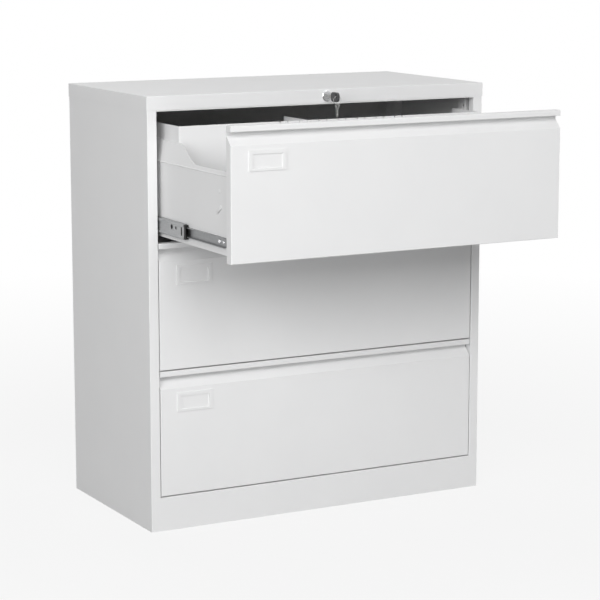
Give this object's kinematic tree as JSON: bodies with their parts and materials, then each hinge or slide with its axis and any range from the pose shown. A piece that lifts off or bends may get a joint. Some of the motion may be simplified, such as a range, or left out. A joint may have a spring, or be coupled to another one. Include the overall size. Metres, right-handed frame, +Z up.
{
  "type": "lateral filing cabinet",
  "caption": "Wide steel lateral filing cabinet with folded full-width finger pulls, label frames, a lock in the lid's edge and drawers on telescopic slides, the top one drawn out.",
  "frame": {"origin": "middle of the cabinet's footprint, on the floor", "axes": "+X to the right as seen from the front, +Y to the back, +Z up"},
  "size_m": [0.9, 0.83, 1.015],
  "materials": {
    "white_paint": "satin powder coat",
    "zinc_steel": "zinc plated",
    "white_nylon": "moulded",
    "chrome": "polished",
    "key_plastic": "moulded",
    "nickel_steel": "nickel plated",
    "black_plastic": "moulded"
  },
  "bodies": {
    "cabinet": {"left_side_panel": "white_paint", "right_side_panel": "white_paint", "back_panel": "white_paint", "top_lid": "white_paint", "base_tray": "white_paint", "front_top_rail": "white_paint", "slide_uprights": "white_paint", "drawer_buffers": "white_nylon", "slide_screws": "zinc_steel", "lock_housing": "chrome", "lock_nut": "zinc_steel", "lock_bar_guides": "zinc_steel", "slide_outer_bottom": "zinc_steel", "slide_outer_middle": "zinc_steel", "slide_outer_top": "zinc_steel"},
    "bottom_drawer": {"drawer_front_bottom": "white_paint", "front_liner_bottom": "white_paint", "label_holder_bottom": "white_paint", "drawer_bottom_bottom": "white_paint", "drawer_left_side_bottom": "white_paint", "drawer_right_side_bottom": "white_paint", "drawer_back_bottom": "white_paint", "file_dividers_bottom": "white_paint", "slide_inner_bottom": "zinc_steel", "lock_catch_bottom": "zinc_steel"},
    "bottom_slides": {"slide_middle_bottom": "zinc_steel", "ball_retainers_bottom": "black_plastic"},
    "middle_drawer": {"drawer_front_middle": "white_paint", "front_liner_middle": "white_paint", "label_holder_middle": "white_paint", "drawer_bottom_middle": "white_paint", "drawer_left_side_middle": "white_paint", "drawer_right_side_middle": "white_paint", "drawer_back_middle": "white_paint", "file_dividers_middle": "white_paint", "slide_inner_middle": "zinc_steel", "lock_catch_middle": "zinc_steel"},
    "middle_slides": {"slide_middle_middle": "zinc_steel", "ball_retainers_middle": "black_plastic"},
    "top_drawer": {"drawer_front_top": "white_paint", "front_liner_top": "white_paint", "label_holder_top": "white_paint", "drawer_bottom_top": "white_paint", "drawer_left_side_top": "white_paint", "drawer_right_side_top": "white_paint", "drawer_back_top": "white_paint", "file_dividers_top": "white_paint", "slide_inner_top": "zinc_steel", "lock_catch_top": "zinc_steel"},
    "top_slides": {"slide_middle_top": "zinc_steel", "ball_retainers_top": "black_plastic"},
    "lock_key": {"lock_plug": "chrome", "lock_cam": "zinc_steel", "key_bow": "key_plastic", "key_blade": "nickel_steel"},
    "lock_bar": {"lock_crossbar": "zinc_steel", "lock_side_bar": "zinc_steel", "lock_fingers": "zinc_steel"},
    "key_ring": {"key_ring": "nickel_steel"}
  },
  "joints": [
    {"name": "bottom_drawer_slide", "type": "slide", "parent": "cabinet", "child": "bottom_drawer", "axis": [0, -1, 0], "range_m": [0, 0.4]},
    {"name": "bottom_slide_members", "type": "slide", "parent": "cabinet", "child": "bottom_slides", "axis": [0, -1, 0], "range_m": [0, 0.2]},
    {"name": "middle_drawer_slide", "type": "slide", "parent": "cabinet", "child": "middle_drawer", "axis": [0, -1, 0], "range_m": [0, 0.4]},
    {"name": "middle_slide_members", "type": "slide", "parent": "cabinet", "child": "middle_slides", "axis": [0, -1, 0], "range_m": [0, 0.2]},
    {"name": "top_drawer_slide", "type": "slide", "parent": "cabinet", "child": "top_drawer", "axis": [0, -1, 0], "range_m": [-0.369, 0.031]},
    {"name": "top_slide_members", "type": "slide", "parent": "cabinet", "child": "top_slides", "axis": [0, -1, 0], "range_m": [-0.1845, 0.0155]},
    {"name": "lock_turn", "type": "hinge", "parent": "cabinet", "child": "lock_key", "pos_m": [0.014, -0.23, 0.999], "axis": [0, 1, 0], "range_deg": [0, 90]},
    {"name": "lock_bar_drop", "type": "slide", "parent": "cabinet", "child": "lock_bar", "axis": [0, 0, -1], "range_m": [0, 0.012]},
    {"name": "key_ring_hang", "type": "hinge", "parent": "lock_key", "child": "key_ring", "pos_m": [0.014, -0.28, 0.9931], "axis": [0, 1, 0], "range_deg": [-90, 0]}
  ],
  "couplings": [
    {"joint": "bottom_slide_members", "follows": "bottom_drawer_slide", "ratio": 0.5},
    {"joint": "middle_slide_members", "follows": "middle_drawer_slide", "ratio": 0.5},
    {"joint": "top_slide_members", "follows": "top_drawer_slide", "ratio": 0.5},
    {"joint": "lock_turn", "follows": "lock_bar_drop", "rad_per_m": 130.9},
    {"joint": "key_ring_hang", "follows": "lock_bar_drop", "rad_per_m": -130.9}
  ]
}
